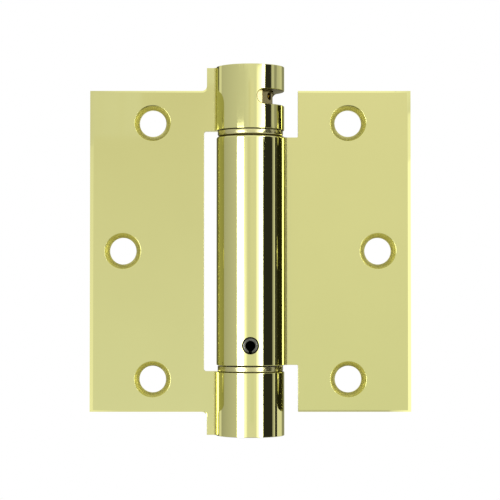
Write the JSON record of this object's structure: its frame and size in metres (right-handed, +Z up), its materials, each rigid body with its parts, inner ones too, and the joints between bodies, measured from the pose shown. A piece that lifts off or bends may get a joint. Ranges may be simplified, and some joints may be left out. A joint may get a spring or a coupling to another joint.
{
  "type": "spring hinge",
  "caption": "Square-corner self-closing spring hinge: rolled sheet leaves, a torsion spring in the centre barrel and a slotted upper knuckle with a tension adjuster.",
  "frame": {"origin": "on the pin axis at half the height of the knuckle column, which is also the middle of the part's box", "axes": "+Z up along the pin axis, -Y out of the countersunk front faces, +X towards the leaf with the long barrel"},
  "size_m": [0.0888, 0.0188, 0.1016],
  "materials": {
    "bright_brass": "polished and lacquered plating on steel sheet",
    "bearing_brass": "turned bearing brass",
    "adjuster_brass": "turned and plated, darker than the leaves",
    "spring_steel": "oiled spring wire",
    "pin_steel": "dark rolled spring pin"
  },
  "bodies": {
    "fixed_leaf": {"two_knuckle_leaf": "bright_brass", "lower_bearing": "bearing_brass", "bottom_plug": "bright_brass"},
    "swing_leaf": {"barrel_leaf": "bright_brass", "upper_bearing": "bearing_brass", "spring_anchor": "pin_steel", "roll_pin": "pin_steel", "torsion_spring": "spring_steel"},
    "adjuster": {"tension_adjuster": "adjuster_brass"}
  },
  "joints": [
    {"name": "leaf_swing", "type": "hinge", "parent": "fixed_leaf", "child": "swing_leaf", "pos_m": [0, 0, 0], "axis": [0, 0, -1], "range_deg": [0, 180], "deforming": ["torsion_spring"]},
    {"name": "tension_turn", "type": "hinge", "parent": "fixed_leaf", "child": "adjuster", "pos_m": [0, 0, 0.042], "axis": [0, 0, -1], "range_deg": [0, 180], "deforming": ["torsion_spring"]}
  ]
}
